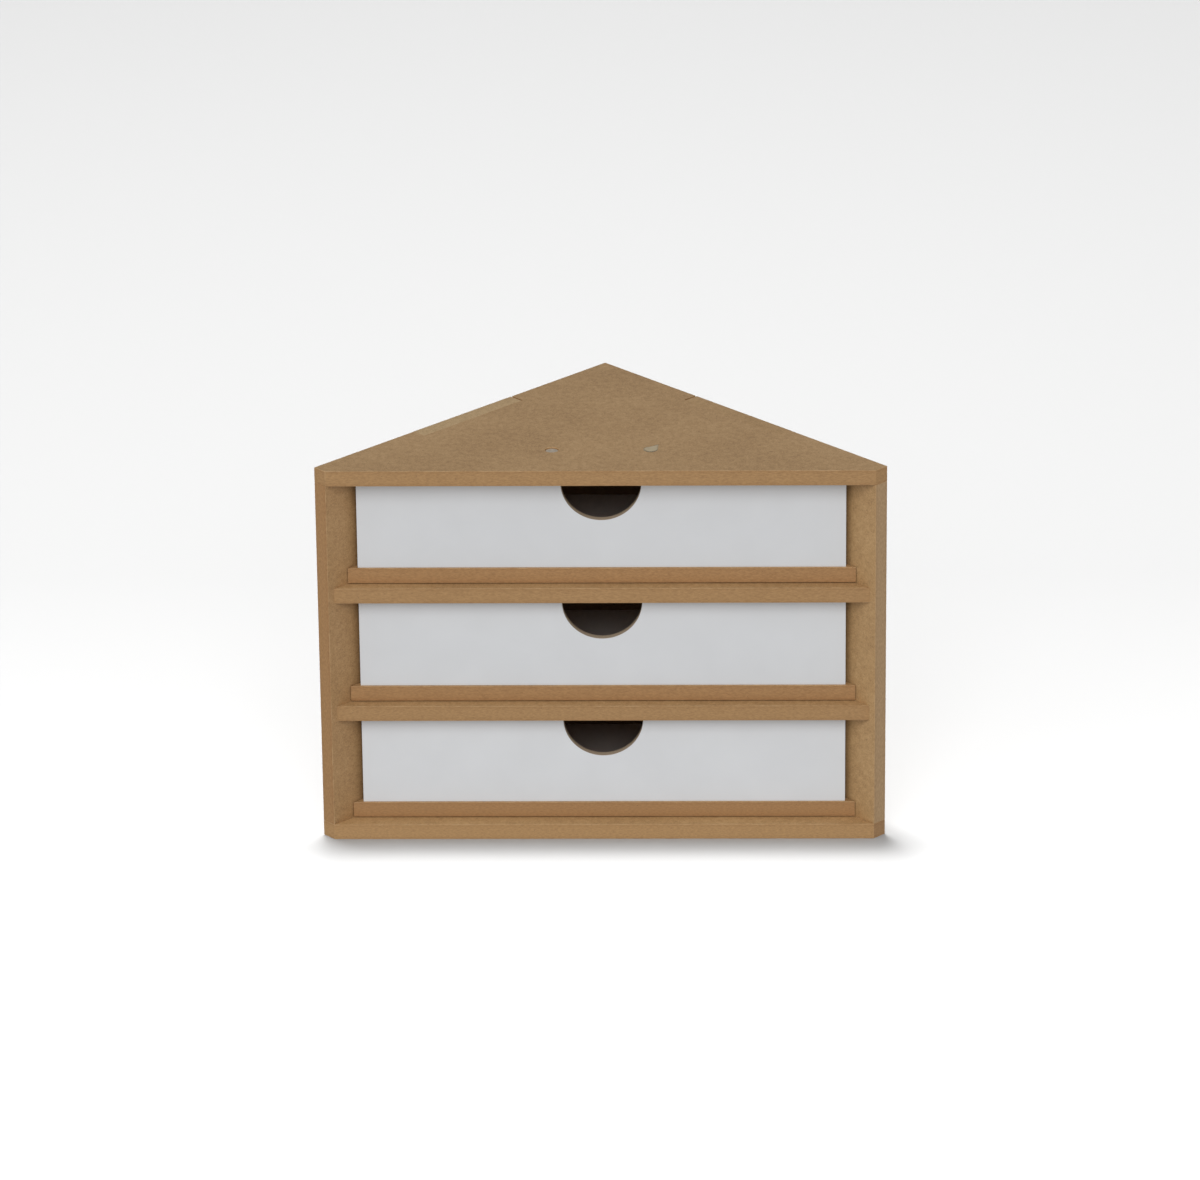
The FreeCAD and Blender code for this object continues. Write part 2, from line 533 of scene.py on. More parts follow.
def drawer_side_wall(side):
    middle_y = (front_high.y + back_wall_low.y) / 2
    centre = (side * drawer_half_width(middle_y), middle_y, front_low.z + panel_height / 2)
    waste = 4 * panel
    run = (back_wall_low.y - front_high.y) * ROOT_TWO + waste
    piece = sheet("wall", (run, panel_height), centre, (QUARTER_TURN, 0, -side * EIGHTH_TURN))
    thicken(piece, side_inward(side) * panel)
    saw(piece, (0, front_high.y, 0), (0, -1, 0), discard=True, fill=True)
    saw(piece, (0, back_wall_low.y, 0), (0, 1, 0), discard=True, fill=True)
    return piece


def drawer_back_wall():
    centre = (0, back_wall_high.y, front_low.z + panel_height / 2)
    width = 2 * drawer_half_width(back_wall_low.y)
    piece = sheet("back_wall", (width, panel_height), centre, (QUARTER_TURN, 0, 0))
    thicken(piece, Vector((0, -panel, 0)))
    for side in SIDES.values():
        edge = (side * drawer_half_width(back_wall_high.y), back_wall_high.y, 0)
        saw(piece, edge, -side_inward(side), discard=True, fill=True)
    return piece


tray = {
    "floor": drawer_floor(),
    "left_wall": drawer_side_wall(-1),
    "right_wall": drawer_side_wall(1),
    "back_wall": drawer_back_wall(),
    "lining": floor_lining_as_painted_light(),
}
print("tray pieces", {part: len(piece.data.polygons) for part, piece in tray.items()})

# %% [markdown]
# The front is hardboard with a thin white laminate glued to its face. Two meshes are worth it here,
# because the raw brown edge shows all round the white, most of all in the half-round finger notch.
# Both are sheets of the same outline, one thick and one thin, and the same round cutter notches them.

# %% Drawer front and its laminate
def front_layer(name, from_y, thickness):
    centre = (0, from_y, front_low.z + panel_height / 2)
    piece = sheet(name, (front_high.x - front_low.x, panel_height), centre, (QUARTER_TURN, 0, 0))
    thicken(piece, Vector((0, thickness, 0)))
    top = Vector((0, from_y, front_high.z))
    span = (-panel, 2 * panel)
    cutter = rod("cutter", top, BACKWARDS, finger_notch_radius, span, NOTCH_STEPS)
    take_away(piece, cutter)
    return piece


tray["front"] = front_layer("front", front_low.y + laminate, panel - laminate)
tray["laminate"] = front_layer("laminate", front_low.y, laminate)
print("front", len(tray["front"].data.polygons), "faces, laminate", in_mm(laminate, 2), "mm thick")

# %% [markdown]
# The finished tray pieces are copied for each drawer. Each copy gets its own mesh, raised by a whole
# number of bays inside that mesh, so that the object itself stays unmoved at the origin.

# %% Copy the tray for three drawers
def raised_copy(piece, rise):
    """A copy with a mesh of its own, lifted within that mesh."""
    made = bpy.data.objects.new(piece.name, piece.data.copy())
    made.data.transform(Matrix.Translation(UP * rise))
    bpy.context.scene.collection.objects.link(made)
    return made


for level, drawer in enumerate(DRAWERS):
    for part, piece in tray.items():
        boards[drawer + "_" + part] = raised_copy(piece, level * bay_pitch)
for piece in tray.values():
    bpy.data.objects.remove(piece)
print(len(boards), "boards and laminates")

# %% [markdown]
# Sawn fibreboard has crisp edges that fine sandpaper has only just broken. A narrow bevel on each
# edge catches a thin line of light. Its width is steered by the edge's bevel weight: the sharp edges
# get the full weight, and those round a tab only a little, because tabs were sanded flush after
# gluing and leave a hairline. The laminate is much thinner, so its edges are eased less.

# %% Ease the edges
FIBREBOARD_EASE = 0.18 * MM
HARDBOARD_EASE = 0.12 * MM
LAMINATE_EASE = 0.06 * MM
JOINT_EASE_SHARE = 0.3
EASE_SEGMENTS = 3
CRISP = math.radians(12)
SHARP = math.radians(30)


def round_a_tab(middle):
    """Tells whether an edge belongs to a tab of the case, or to the notch or slot round it."""
    reach = (tab_start - NEAR, tab_end + tab_slack + NEAR)
    for side in SIDES.values():
        along, inward, _ = side_place(side, middle)
        if between(along, reach) and inward < board + NEAR:
            return True
    return False


def ease(piece, width):
    """Bevels the sharp edges of a piece, and those of tabs only a little."""
    open_mesh(piece, "EDGE")
    bpy.ops.mesh.edges_select_sharp(sharpness=SHARP)
    bpy.ops.transform.edge_bevelweight(value=1)
    if pick(piece, "EDGE", round_a_tab):
        bpy.ops.transform.edge_bevelweight(value=JOINT_EASE_SHARE - 1)
    close_mesh()
    bevel = piece.modifiers.new("eased_edges", "BEVEL")
    bevel.width = width
    bevel.segments = EASE_SEGMENTS
    bevel.limit_method = "WEIGHT"
    bpy.ops.object.modifier_apply(modifier=bevel.name)
    bpy.ops.object.shade_smooth_by_angle(angle=CRISP)


def ease_of(node):
    if node.endswith(("_laminate", "_lining")):
        return LAMINATE_EASE
    if node.endswith(("_wall", "_front")):
        return HARDBOARD_EASE
    return FIBREBOARD_EASE


for node, piece in boards.items():
    ease(piece, ease_of(node))
print("faces after easing:", sum(len(piece.data.polygons) for piece in boards.values()))

# %% [markdown]
# The magnets are plain nickel-plated discs. Real ones have a small rounded rim, which is what
# catches the light, so the rim gets a wider bevel than the boards. Each pair becomes one object,
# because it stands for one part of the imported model.

# %% Magnets
MAGNET_EASE = 0.35 * MM
for node, (carrier, inward) in MAGNET_NODES.items():
    discs = []
    for place in magnet_places(node):
        span = (magnet_recess, magnet_recess + magnet_thickness)
        disc = rod("disc", place, inward, magnet_radius, span)
        ease(disc, MAGNET_EASE)
        discs.append(disc)
    only(discs[0])
    discs[1].select_set(True)
    bpy.ops.object.join()
    boards[node] = bpy.context.active_object
    print(node, len(boards[node].data.polygons), "faces")

# %% [markdown]
# Whoever pressed the magnets in used a drop of glue. Over the right one on top it has filled the
# hole and run a little way back over the board. It is a low dome. A thin disc gets three rings by
# insets, and every point is then moved: outwards by a slow wobble, into a tail on one side, and up
# by how far inside the disc it lies. The same number, kept on the mesh, tells the material later how
# thick the film is.

# %% Dried glue over a magnet
GLUE_STEPS = 48
GLUE_RADIUS = 2.9 * MM
GLUE_HEIGHT = 0.1 * MM
GLUE_SKIN = 0.03 * MM
GLUE_RIM_DEPTH = 0.01 * MM
GLUE_RINGS = (0.3 * MM, 0.6 * MM, 0.9 * MM)
GLUE_SHIFT = Vector((0.1, 0.4, 0)) * MM
GLUE_TAIL = Vector((0.5, 0.866, 0))
GLUE_PULL = 1.1
GLUE_NARROWING = 0.7
GLUE_WOBBLES = [(2, 0.06, 1), (3, 0.04, 0)]

glue_start = Vector((deck_magnet_x, deck_magnet_y, case_height)) + GLUE_SHIFT
bpy.ops.object.select_all(action="DESELECT")
bpy.ops.mesh.primitive_circle_add(
    vertices=GLUE_STEPS,
    radius=GLUE_RADIUS,
    fill_type="NGON",
    location=glue_start,
)
glue = bpy.context.active_object
bpy.ops.object.transform_apply(location=True, rotation=True, scale=True)
open_mesh(glue)
bpy.ops.mesh.select_all(action="SELECT")
bpy.ops.mesh.extrude_region_move(TRANSFORM_OT_translate={"value": UP * GLUE_SKIN})
for ring in GLUE_RINGS:
    bpy.ops.mesh.inset(thickness=ring)
bpy.ops.mesh.poke()
bpy.ops.mesh.select_all(action="SELECT")
bpy.ops.mesh.normals_make_consistent(inside=False)
close_mesh()

film = glue.data.attributes.new("film", "FLOAT", "POINT")
for index, vertex in enumerate(glue.data.vertices):
    lift = vertex.co.z - case_height - GLUE_SKIN
    reach = Vector((vertex.co.x, vertex.co.y, case_height)) - glue_start
    inside = max(1 - (reach.length / GLUE_RADIUS) ** 2, 0)
    turn = math.atan2(reach.y, reach.x)
    wobble = 1
    for waves, strength, start in GLUE_WOBBLES:
        wobble += strength * math.sin(waves * turn + start)
    along = max(reach.dot(GLUE_TAIL), 0) / GLUE_RADIUS
    pulled = reach * wobble + GLUE_TAIL * along ** 3 * GLUE_PULL * GLUE_RADIUS
    aside = pulled - GLUE_TAIL * pulled.dot(GLUE_TAIL)
    vertex.co = glue_start + pulled - aside * GLUE_NARROWING * along ** 2
    vertex.co.z = case_height - GLUE_RIM_DEPTH + lift + GLUE_HEIGHT * inside
    film.data[index].value = inside
only(glue)
bpy.ops.object.shade_smooth()
boards["glue"] = glue
print("glue spot", in_mm(glue.dimensions.x), "by", in_mm(glue.dimensions.y), "mm")

# %% [markdown]
# A board's look depends on where you are in the board: its pressed faces are dense and smooth, its sawn
# edges show lighter and softer fibres in the core. So each point of a mesh is told its place in its own
# board, in millimetres: two numbers in the plane and one through the thickness. A random shift for each
# board keeps neighbours from sharing one pattern. Each board also gets a colour factor, which is partly
# painted light: the base and the middle and lower laminates are painted lighter for the light that the
# table throws up near the bottom, while the left side panel is a little darker and more orange and the
# right one a little lighter.
#
# A few faces get a colour of their own. The ends of the tabs in the top and base count as faces of the
# sheet, because they were sanded flush with them, and those of the left panel were sanded down to paler
# fibres. At the right front corner the right panel's cut end is painted lighter and bluer, as painted
# light, and the base's facet there is painted darker, as painted shade. The ends of the drawer fronts,
# which never show, are painted dark so that less light bounces into the narrow gap beside each front:
# painted shade for that gap. The narrow eased edges are marked as well, because they are what hands rub
# and what wears first.

# %% Tell each board its own grain
def board_axes(node):
    """The board's own directions: along it, across it and through its thickness."""
    if "left_side" in node or "left_wall" in node:
        return side_direction(-1), UP, side_inward(-1)
    if "right_side" in node or "right_wall" in node:
        return side_direction(1), UP, side_inward(1)
    if node.endswith(("_front", "_laminate", "_back_wall")):
        return RIGHTWARDS, UP, BACKWARDS
    return RIGHTWARDS, BACKWARDS, UP


GRAIN_SEED = 23
GRAIN_SPREAD = 400
FLOOR_TINT = (1.0, 0.96, 0.95)
# Painted light: the white lining stands in for the grey light inside the drawers, and this factor warms
# it.
LINING_PAINTED_LIGHT = (1.08, 0.96, 0.89)
# Painted light: the base and the middle and lower laminates are made lighter for the light thrown up by
# the table near the bottom. The side panels' factors only make the left panel darker and the right one
# lighter.
TINTS_AND_PAINTED_LIGHT = {
    "base_board": (1.08, 1.08, 1.06),
    "left_side_panel": (0.98, 0.93, 0.89),
    "right_side_panel": (1.08, 1.07, 1.04),
    "middle_drawer_laminate": (1.02, 1.02, 1.02),
    "lower_drawer_laminate": (1.06, 1.06, 1.06),
}
TAB_END_TINTS = {"left_side_panel": (1.15, 1.26, 1.38), "right_side_panel": (0.98, 0.98, 0.96)}
# Painted light and shade at the right front corner: the right panel's end is made lighter and bluer,
# and the base's right facet darker.
RIGHT_CORNER_PAINTED_LIGHT_AND_SHADE = {"right_side_panel": (1.08, 1.22, 1.50), "base_board": (0.87, 0.85, 0.88)}
# Painted shade: the hidden ends of the drawer fronts are made dark so that less light bounces into the
# gap beside each front.
FRONT_END_PAINTED_SHADE = (0.30, 0.22, 0.18)
EASED_STRIP = 0.12 * MM


def tint_and_painted_light_of(node, face):
    """The colour factor of one face, partly painted light and shade: that of its board, unless the face
    has one of its own.
    """
    if is_tab_end(node, face):
        return TAB_END_TINTS[node]
    # Painted light on the right panel's front end, painted shade on the base's right facet.
    if node in RIGHT_CORNER_PAINTED_LIGHT_AND_SHADE and face.normal.dot(side_direction(1)) < -ALMOST_SQUARE_ON:
        return RIGHT_CORNER_PAINTED_LIGHT_AND_SHADE[node]
    # Painted shade for the gap beside each front, through its hidden end.
    if node.endswith("_front") and abs(face.center.x) > front_high.x - EASED_STRIP:
        return FRONT_END_PAINTED_SHADE
    if node.endswith("_floor"):
        return FLOOR_TINT
    if node.endswith("_lining"):
        return LINING_PAINTED_LIGHT
    return TINTS_AND_PAINTED_LIGHT.get(node, (1, 1, 1))


def is_tab_end(node, face):
    """Tells whether a face of a side panel lies in the top's upper or the base's lower face."""
    outside = face.center.z < NEAR or face.center.z > case_height - NEAR
    return node.endswith("_side_panel") and abs(face.normal.z) > ALMOST_SQUARE_ON and outside


def is_eased(mesh, face):
    """Tells whether a face is one of the narrow strips that the bevel has left along an edge."""
    ends = [[mesh.vertices[index].co for index in pair] for pair in face.edge_keys]
    longest = max((start - end).length for start, end in ends)
    return face.area < EASED_STRIP * longest


def mark_grain(node, piece, axes, shift):
    """Writes what the materials need to know about each point and face of a piece."""
    mesh = piece.data
    places = [Vector([v.co.dot(axis) / MM for axis in axes]) for v in mesh.vertices]
    deepest = min(place.z for place in places)
    thickness = max(place.z for place in places) - deepest
    mesh.attributes.new("grain", "FLOAT_VECTOR", "POINT")
    mesh.attributes.new("depth", "FLOAT", "POINT")
    mesh.attributes.new("tint_and_painted_light", "FLOAT_VECTOR", "FACE")
    mesh.attributes.new("sawn", "FLOAT", "FACE")
    mesh.attributes.new("rubbed", "FLOAT", "FACE")
    for index, place in enumerate(places):
        mesh.attributes["grain"].data[index].vector = place + shift
        mesh.attributes["depth"].data[index].value = (place.z - deepest) / thickness
    for face in mesh.polygons:
        sawn = 0 if is_tab_end(node, face) else 1 - abs(face.normal.dot(axes[2]))
        mesh.attributes["sawn"].data[face.index].value = sawn
        mesh.attributes["tint_and_painted_light"].data[face.index].vector = tint_and_painted_light_of(node, face)
        mesh.attributes["rubbed"].data[face.index].value = is_eased(mesh, face)


random.seed(GRAIN_SEED)
for node, piece in boards.items():
    shift = Vector([random.uniform(0, GRAIN_SPREAD) for axis in range(3)])
    mark_grain(node, piece, board_axes(node), shift)
print("grain written on", len(boards), "pieces")

# %% [markdown]
# Materials are built from nodes. One helper adds a node, sets its plain values on its sockets and
# joins whatever is given as another node's output, so each material below reads from top to bottom
# in the order in which its values are worked out. The one being built is always called made.

# %% Helpers for materials
NOISE_SPAN = (0.3, 0.7)
WHOLE_SPAN = (0.0, 1.0)
WORN_SPAN = (0.42, 0.62)
MOST_WORN = 0.6


def new_material(name):
    """An empty material that is built from nodes."""
    made = bpy.data.materials.new(name)
    made.use_nodes = True
    made.node_tree.nodes.clear()
    return made


def add_node(made, kind, inputs=None, **settings):
    """Adds one node. An input is a plain value, or another node's output to join."""
    tree = made.node_tree
    node = tree.nodes.new("ShaderNode" + kind)
    for name, value in settings.items():
        setattr(node, name, value)
    for name, value in (inputs or {}).items():
        if isinstance(value, bpy.types.NodeSocket):
            tree.links.new(value, node.inputs[name])
        else:
            node.inputs[name].default_value = value
    return node


def board_place(made):
    """Where a point lies in its own board, in millimetres."""
    return add_node(made, "Attribute", attribute_name="grain").outputs["Vector"]


def number_from(made, name):
    """A number that was written on the mesh under this name."""
    return add_node(made, "Attribute", attribute_name=name).outputs["Fac"]


def noise(made, place, scale, detail=2.0, roughness=0.5, distortion=0.0):
    """Soft random blotches. At a scale of 1 they are about a millimetre wide."""
    inputs = {
        "Vector": place,
        "Scale": scale,
        "Detail": detail,
        "Roughness": roughness,
        "Distortion": distortion,
    }
    return add_node(made, "TexNoise", inputs).outputs["Fac"]


def stretched(made, place, factors):
    """The same place with each direction stretched or squeezed."""
    inputs = {"Vector": place, "Scale": factors}
    return add_node(made, "Mapping", inputs).outputs["Vector"]


def mapped(made, value, from_span, to_span, curve="LINEAR"):
    """Carries a value from one span of numbers over to another."""
    inputs = {
        "Value": value,
        "From Min": from_span[0],
        "From Max": from_span[1],
        "To Min": to_span[0],
        "To Max": to_span[1],
    }
    return add_node(made, "MapRange", inputs, interpolation_type=curve).outputs["Result"]


def spread(made, blotches, to_span):
    """Carries a noise over to a span. Most of a noise lies between 0.3 and 0.7."""
    return mapped(made, blotches, NOISE_SPAN, to_span)


def sum_of(made, first, second):
    return add_node(made, "Math", {0: first, 1: second}, operation="ADD").outputs[0]


def product_of(made, first, second):
    return add_node(made, "Math", {0: first, 1: second}, operation="MULTIPLY").outputs[0]


def ramp(made, value, stops):
    """A colour ramp from (position, colour) pairs."""
    node = add_node(made, "ValToRGB", {"Fac": value})
    elements = node.color_ramp.elements
    elements[0].position, elements[1].position = stops[0][0], stops[-1][0]
    elements[0].color, elements[1].color = (*stops[0][1], 1), (*stops[-1][1], 1)
    for position, colour in stops[1:-1]:
        elements.new(position).color = (*colour, 1)
    return node.outputs["Color"]


def mix_colours(made, factor, first, second, blend="MIX"):
    """Mixes two colours. The node has several sets of sockets: 0, 6 and 7 are those for colours."""
    node = add_node(made, "Mix", data_type="RGBA", blend_type=blend)
    sockets = (node.inputs[0], node.inputs[6], node.inputs[7])
    for socket, value in zip(sockets, (factor, first, second)):
        if isinstance(value, bpy.types.NodeSocket):
            made.node_tree.links.new(value, socket)
        else:
            socket.default_value = value
    return node.outputs[2]


def with_tint_and_painted_light(made, colour):
    """The colour, multiplied by the colour factor written on each face, which is partly painted light
    and shade.
    """
    tint_and_painted_light = add_node(made, "Attribute", attribute_name="tint_and_painted_light").outputs["Color"]
    return mix_colours(made, 1.0, colour, tint_and_painted_light, "MULTIPLY")


def worn_edge(made, place):
    """How worn a point is: only on the eased edges, and there in patches a few millimetres long."""
    blotches = noise(made, place, scale=0.25, detail=3.0, roughness=0.6)
    patches = mapped(made, blotches, WORN_SPAN, (0.0, MOST_WORN))
    return product_of(made, number_from(made, "rubbed"), patches)


def bump(made, height, relief):
    """Small relief, in metres from the lowest to the highest point."""
    inputs = {"Height": height, "Distance": relief, "Strength": 1.0}
    return add_node(made, "Bump", inputs).outputs["Normal"]


def surface(made, inputs):
    """The shader itself and the material's output."""
    shader = add_node(made, "BsdfPrincipled", inputs)
    add_node(made, "OutputMaterial", {"Surface": shader.outputs["BSDF"]})


print("material helpers ready")

# %% [markdown]
# Raw fibreboard is wood fibre pressed flat. Its face is an even tan, with soft cloudy patches a few
# centimetres wide, a mottle of a millimetre or two, short fibres and here and there a dark speck of
# bark. A sawn edge shows the pressed layers: darker and denser near both faces, lighter and furrier
# in the core, with fine streaks that run along the edge. Both looks are made and the sawn mark on
# each face chooses between them. The eased edges are worn pale in patches.

# %% Fibreboard
FACE_DARK = (0.335, 0.198, 0.089)
FACE_MIDDLE = (0.475, 0.293, 0.133)
FACE_LIGHT = (0.580, 0.378, 0.186)
EDGE_OUTER = (0.430, 0.240, 0.100)
EDGE_CORE = (0.462, 0.267, 0.115)
FACE_WORN = (0.62, 0.42, 0.22)
SPECK = (0.12, 0.07, 0.04)
EDGE_SHADE_DARK = (0.82, 0.79, 0.76)
EDGE_SHADE_LIGHT = (1.18, 1.21, 1.24)
CORE_SPAN = (0.5, 0.22)
LAYER_STRETCH = (0.6, 0.6, 2.0)
SPECK_RADII = (0.05, 0.11)
RARE_SPAN = (0.86, 0.9)
SPECK_STRENGTH = 0.75
SAWN_ROUGHER = 0.16

fibreboard = made = new_material("fibreboard")
place = board_place(made)
sawn = number_from(made, "sawn")
depth = number_from(made, "depth")

mottle_noise = noise(made, place, scale=0.45, detail=4.0, roughness=0.6)
fibre_noise = noise(made, place, scale=1.8, detail=3.0, roughness=0.65, distortion=1.2)
clouds = spread(made, noise(made, place, scale=0.03), (-0.12, 0.12))
mottle = spread(made, mottle_noise, (-0.2, 0.2))
fibres = spread(made, fibre_noise, (-0.38, 0.38))
tone = sum_of(made, sum_of(made, clouds, mottle), fibres)
face_tone = sum_of(made, tone, 0.5)
face_colour = ramp(made, face_tone, [(0.0, FACE_DARK), (0.5, FACE_MIDDLE), (1.0, FACE_LIGHT)])

layers_place = stretched(made, place, LAYER_STRETCH)
layer_noise = noise(made, layers_place, scale=1.3, detail=4.0, roughness=0.65)
layers = spread(made, layer_noise, WHOLE_SPAN)
from_middle = add_node(made, "Math", {0: depth, 1: 0.5}, operation="SUBTRACT").outputs[0]
from_middle = add_node(made, "Math", {0: from_middle}, operation="ABSOLUTE").outputs[0]
core = mapped(made, from_middle, CORE_SPAN, WHOLE_SPAN, "SMOOTHSTEP")
edge_colour = mix_colours(made, core, (*EDGE_OUTER, 1), (*EDGE_CORE, 1))
edge_shade = ramp(made, layers, [(0.0, EDGE_SHADE_DARK), (1.0, EDGE_SHADE_LIGHT)])
edge_colour = mix_colours(made, 1.0, edge_colour, edge_shade, "MULTIPLY")
# The colour factor is partly painted light and shade: a lighter base, a lighter right front end and a
# darker base facet at the right front corner.
colour = with_tint_and_painted_light(made, mix_colours(made, sawn, face_colour, edge_colour))
colour = mix_colours(made, worn_edge(made, place), colour, (*FACE_WORN, 1))

cells = add_node(made, "TexVoronoi", {"Vector": place, "Scale": 0.55, "Randomness": 1.0})
near_speck = mapped(made, cells.outputs["Distance"], SPECK_RADII, (1.0, 0.0))
cell_number = add_node(made, "SeparateColor", {"Color": cells.outputs["Color"]}).outputs["Red"]
rare = mapped(made, cell_number, RARE_SPAN, (0.0, SPECK_STRENGTH))
colour = mix_colours(made, product_of(made, near_speck, rare), colour, (*SPECK, 1))

face_relief = noise(made, place, scale=5.0, detail=3.0, roughness=0.6)
edge_relief = product_of(made, sawn, noise(made, layers_place, scale=5.0, detail=4.0, roughness=0.7))
relief = mapped(made, sawn, WHOLE_SPAN, (0.35, 1.0))
height = product_of(made, sum_of(made, face_relief, edge_relief), relief)
gloss = mapped(made, face_tone, (0.2, 0.8), (0.64, 0.54))
surface(made, {
    "Base Color": colour,
    "Roughness": sum_of(made, gloss, product_of(made, sawn, SAWN_ROUGHER)),
    "Specular IOR Level": 0.5,
    "Normal": bump(made, height, 0.05 * MM),
})
print("fibreboard", len(fibreboard.node_tree.nodes), "nodes")

# %% [markdown]
# The thin drawer walls are hardboard, which is pressed much denser: it is smoother, a little darker
# and has finer fibres. Its cut edge, seen all round the finger notch, is paler than its face, and its
# eased edges are worn like those of the fibreboard.

# %% Hardboard
HARD_DARK = (0.21, 0.122, 0.068)
HARD_LIGHT = (0.35, 0.218, 0.125)
HARD_WORN = (0.46, 0.33, 0.21)
HARD_EDGE_DARK = (0.42, 0.33, 0.235)
HARD_EDGE_LIGHT = (0.60, 0.49, 0.36)
STREAK_STRETCH = (0.6, 0.6, 3.0)

hardboard = made = new_material("hardboard")
place = board_place(made)
sawn = number_from(made, "sawn")
fibre_noise = noise(made, place, scale=2.2, detail=4.0, roughness=0.65, distortion=1.0)
clouds = spread(made, noise(made, place, scale=0.08), (-0.15, 0.15))
fibres = spread(made, fibre_noise, (-0.3, 0.3))
tone = sum_of(made, sum_of(made, clouds, fibres), 0.5)
face_colour = ramp(made, tone, [(0.0, HARD_DARK), (1.0, HARD_LIGHT)])
streaks_place = stretched(made, place, STREAK_STRETCH)
streaks = noise(made, streaks_place, scale=2.0, detail=3.0, roughness=0.6)
edge_colour = ramp(made, streaks, [(0.25, HARD_EDGE_DARK), (0.75, HARD_EDGE_LIGHT)])
colour = mix_colours(made, sawn, face_colour, edge_colour)
colour = mix_colours(made, worn_edge(made, place), colour, (*HARD_WORN, 1))
relief = noise(made, place, scale=4.0, detail=4.0, roughness=0.65)
surface(made, {
    # The colour factor paints the hidden ends of the fronts dark: painted shade for the gap beside each
    # front.
    "Base Color": with_tint_and_painted_light(made, colour),
    "Roughness": mapped(made, tone, (0.2, 0.8), (0.62, 0.5)),
    "Specular IOR Level": 0.4,
    "Normal": bump(made, relief, 0.03 * MM),
})
print("hardboard", len(hardboard.node_tree.nodes), "nodes")

# %% [markdown]
# The white laminate is even and slightly cool. What keeps it from looking like a flat fill is the
# faint pebbled texture of its surface, pressed in at about a third of a millimetre, and a soft sheen.
# Its cut edges show a thin line of the paper it is made of.

# %% White laminate
LAMINATE_WHITE = (0.815, 0.830, 0.850)
LAMINATE_SHADE = (0.790, 0.804, 0.823)
LAMINATE_EDGE = (0.60, 0.56, 0.50)

white_laminate = made = new_material("white_laminate")
place = board_place(made)
sawn = number_from(made, "sawn")
patches = noise(made, place, scale=0.06)
white = ramp(made, patches, [(0.3, LAMINATE_SHADE), (0.7, LAMINATE_WHITE)])
colour = mix_colours(made, sawn, white, (*LAMINATE_EDGE, 1))
pebbles = add_node(made, "TexVoronoi", {"Vector": place, "Scale": 3.0}, feature="SMOOTH_F1")
smudges = noise(made, place, scale=0.15, detail=3.0)
surface(made, {
    # The colour factor paints the middle and lower fronts lighter for the light thrown up by the table,
    # and warms the lining, which stands in for light inside the drawers.
    "Base Color": with_tint_and_painted_light(made, colour),
    "Roughness": spread(made, smudges, (0.34, 0.44)),
    "Specular IOR Level": 0.5,
    "Normal": bump(made, pebbles.outputs["Distance"], 0.012 * MM),
})
print("white laminate", len(white_laminate.node_tree.nodes), "nodes")

# %% [markdown]
# Nickel plating is a warm grey metal. Pressing the magnets home has left fine scratches in all
# directions, which change how rough the shine is rather than its colour. The dried glue is a milky
# film that hides what is under its middle and thins out to nothing at its rim.

# %% Magnet plating and glue
NICKEL_DULL = (0.64, 0.57, 0.47)
NICKEL_BRIGHT = (0.86, 0.76, 0.62)
SCRATCH_STRETCH = (0.5, 4.0, 4.0)
GLUE_DARK = (0.51, 0.41, 0.25)
GLUE_LIGHT = (0.61, 0.50, 0.32)
FILM_SPAN = (0.0, 0.45)

magnet_plating = made = new_material("magnet_plating")
place = board_place(made)
scratches_place = stretched(made, place, SCRATCH_STRETCH)
scratches = noise(made, scratches_place, scale=3.0, detail=4.0, roughness=0.7, distortion=0.4)
stain = noise(made, place, scale=0.7, detail=3.0)
surface(made, {
    "Base Color": ramp(made, stain, [(0.35, NICKEL_DULL), (0.65, NICKEL_BRIGHT)]),
    "Metallic": 1.0,
    "Roughness": spread(made, scratches, (0.34, 0.50)),
    "Normal": bump(made, scratches, 0.004 * MM),
})

dried_glue = made = new_material("dried_glue")
place = board_place(made)
ripples = noise(made, place, scale=0.8)
surface(made, {
    "Base Color": ramp(made, ripples, [(0.3, GLUE_DARK), (0.7, GLUE_LIGHT)]),
    "Roughness": spread(made, ripples, (0.28, 0.42)),
    "Alpha": mapped(made, number_from(made, "film"), FILM_SPAN, (0.1, 0.92)),
    "Normal": bump(made, ripples, 0.02 * MM),
})
print("magnet plating and dried glue ready")

# %% [markdown]
# Every piece now gets its material and rides on the body that it belongs to, so that a drawer's
# boards travel with the drawer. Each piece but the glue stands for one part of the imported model,
# which is then hidden but keeps its place for collisions. A laminate shares its part with the front
# it is glued to, and a lining with its floor. The slot is the name by which the finish is known.

# %% Put the pieces on their bodies
FINISHES = {
    "fibreboard": fibreboard,
    "hardboard": hardboard,
    "white_laminate": white_laminate,
    "magnet_plating": magnet_plating,
}


def finish_of(node):
    """The name of the finish that a piece gets."""
    if node.endswith("_magnets"):
        return "magnet_plating"
    if node.endswith(("_laminate", "_lining")):
        return "white_laminate"
    if node.endswith(("_front", "_wall")):
        return "hardboard"
    return "fibreboard"


def body_for(node):
    """The body that a piece travels with."""
    for drawer in DRAWERS:
        if node.startswith(drawer):
            return drawer
    return "case"


for node, piece in boards.items():
    piece.name = node + "_dressed"
    piece.data.name = piece.name
    piece.data.materials.clear()
    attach(piece, body_for(node))
    if node == "glue":
        piece.data.materials.append(dried_glue)
        continue
    finish = finish_of(node)
    piece.data.materials.append(FINISHES[finish])
    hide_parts(node.replace("_laminate", "_front").replace("_lining", "_floor"))
bodies = {body_for(node) for node in boards}

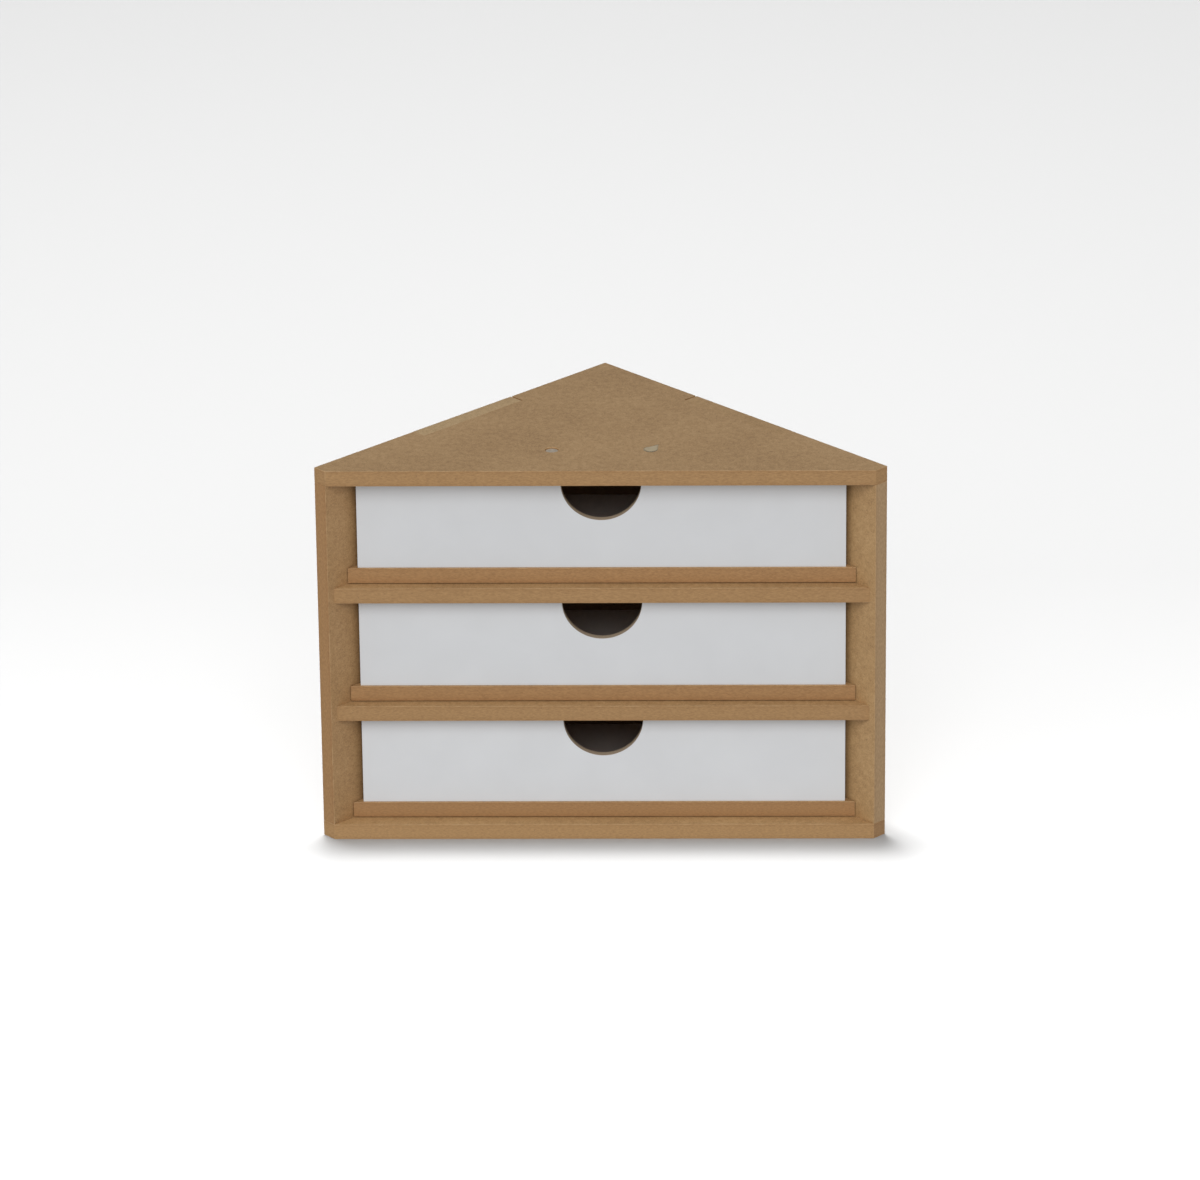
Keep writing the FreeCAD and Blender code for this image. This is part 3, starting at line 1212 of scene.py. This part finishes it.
# %% [markdown]
# The photograph is a studio picture on a seamless pale table: very soft light from all round, most
# of it from above and in front, and a faint shadow where the base meets the table. The pale room
# gives the soft part. A wide lamp high in front and a weaker one on the left give the rest.
#
# A table in such a picture is lit until it is nearly white, and would throw far too much light up at
# the boards. So it sends no light on, shows in no reflection and blocks no light, and the lower half of
# the room stands for what a table gives back. One more lamp shines on the table alone: the table is its
# only receiver, and the module still blocks it, which leaves the soft shadow under the front edge. The
# table's colour is painted a darker grey further back: painted shade for the light that fades towards
# the back of a studio backdrop.

# %% Table and lamps
ROOM_ABOVE = 0.41
ROOM_BELOW = 0.48
HORIZON = (-0.1, 0.1)
# Each lamp: its place and its size in metres, and its power in watts
LAMPS = {
    "key_lamp": ((-1.3, -1.5, 1.6), 1.2, 6.3),
    "front_lamp": ((0.0, -2.2, 1.9), 1.6, 26.4),
}
TABLE_LAMP_PLACE = (-0.10, 0.186, 3.0)
TABLE_LAMP_SIZE = 0.4
TABLE_LAMP_POWER = 155.0
TABLE_LAMP_AIM = (0, 0.1, 0)
TABLE_SIZE = 12
TABLE_DROP = 0.05 * MM
TABLE_FRONT = (0.45, 0.45, 0.45)
TABLE_BACK_PAINTED_SHADE = (0.385, 0.385, 0.385)
TABLE_PAINTED_SHADE_FADE = (-0.1, 0.2)

bpy.ops.object.select_all(action="DESELECT")
bpy.ops.mesh.primitive_plane_add(size=TABLE_SIZE, location=(0, 0, -TABLE_DROP))
table = bpy.context.active_object
table.name = "table"
table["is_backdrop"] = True
table.visible_diffuse = False
table.visible_glossy = False
table.visible_shadow = False

pale = new_material("pale_table")
where = add_node(pale, "TexCoord").outputs["Object"]
ahead = add_node(pale, "SeparateXYZ", {"Vector": where}).outputs["Y"]
# Painted shade: the table's colour darkens further back.
painted_shade_further_back = mapped(pale, ahead, TABLE_PAINTED_SHADE_FADE, WHOLE_SPAN)
surface(pale, {
    "Base Color": mix_colours(pale, painted_shade_further_back, (*TABLE_FRONT, 1), (*TABLE_BACK_PAINTED_SHADE, 1)),
    "Roughness": 0.9,
    "Specular IOR Level": 0.1,
})
table.data.materials.append(pale)


def soft_lamp(name, place, aim, size, power):
    """A square lamp at one place that shines towards another."""
    light = bpy.data.lights.new(name, "AREA")
    light.shape = "SQUARE"
    light.size = size
    light.energy = power
    lamp = bpy.data.objects.new(name, light)
    bpy.context.scene.collection.objects.link(lamp)
    lamp.location = place
    lamp.rotation_euler = (Vector(aim) - Vector(place)).to_track_quat("-Z", "Y").to_euler()
    lamp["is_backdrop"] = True
    return lamp


middle = (0, 0, case_height / 2)
for name, (place, size, power) in LAMPS.items():
    soft_lamp(name, place, middle, size, power)
table_lamp = soft_lamp(
    "table_lamp", TABLE_LAMP_PLACE, TABLE_LAMP_AIM, TABLE_LAMP_SIZE, TABLE_LAMP_POWER
)
lit_by_it = bpy.data.collections.new("lit_by_table_lamp")
lit_by_it.objects.link(table)
table_lamp.light_linking.receiver_collection = lit_by_it

world = bpy.data.worlds.new("pale_room")
world.use_nodes = True
background = world.node_tree.nodes["Background"]
background.inputs["Color"].default_value = (1.0, 1.0, 1.0, 1.0)
towards = add_node(world, "TexCoord").outputs["Generated"]
upward = add_node(world, "SeparateXYZ", {"Vector": towards}).outputs["Z"]
strength = mapped(world, upward, HORIZON, (ROOM_BELOW, ROOM_ABOVE))
world.node_tree.links.new(strength, background.inputs["Strength"])
bpy.context.scene.world = world
bpy.context.scene.view_settings.view_transform = "Standard"
print(len(LAMPS), "soft lamps, and one for the table alone")

# %% [markdown]
# Last, the size of the dressed model is measured and printed beside that of the imported one.

# %% Measure and finish
dressed_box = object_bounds()
for name, box in (("packed", cad_box), ("dressed", dressed_box)):
    print(name, [round(value / MM, 2) for corner in box for value in corner])
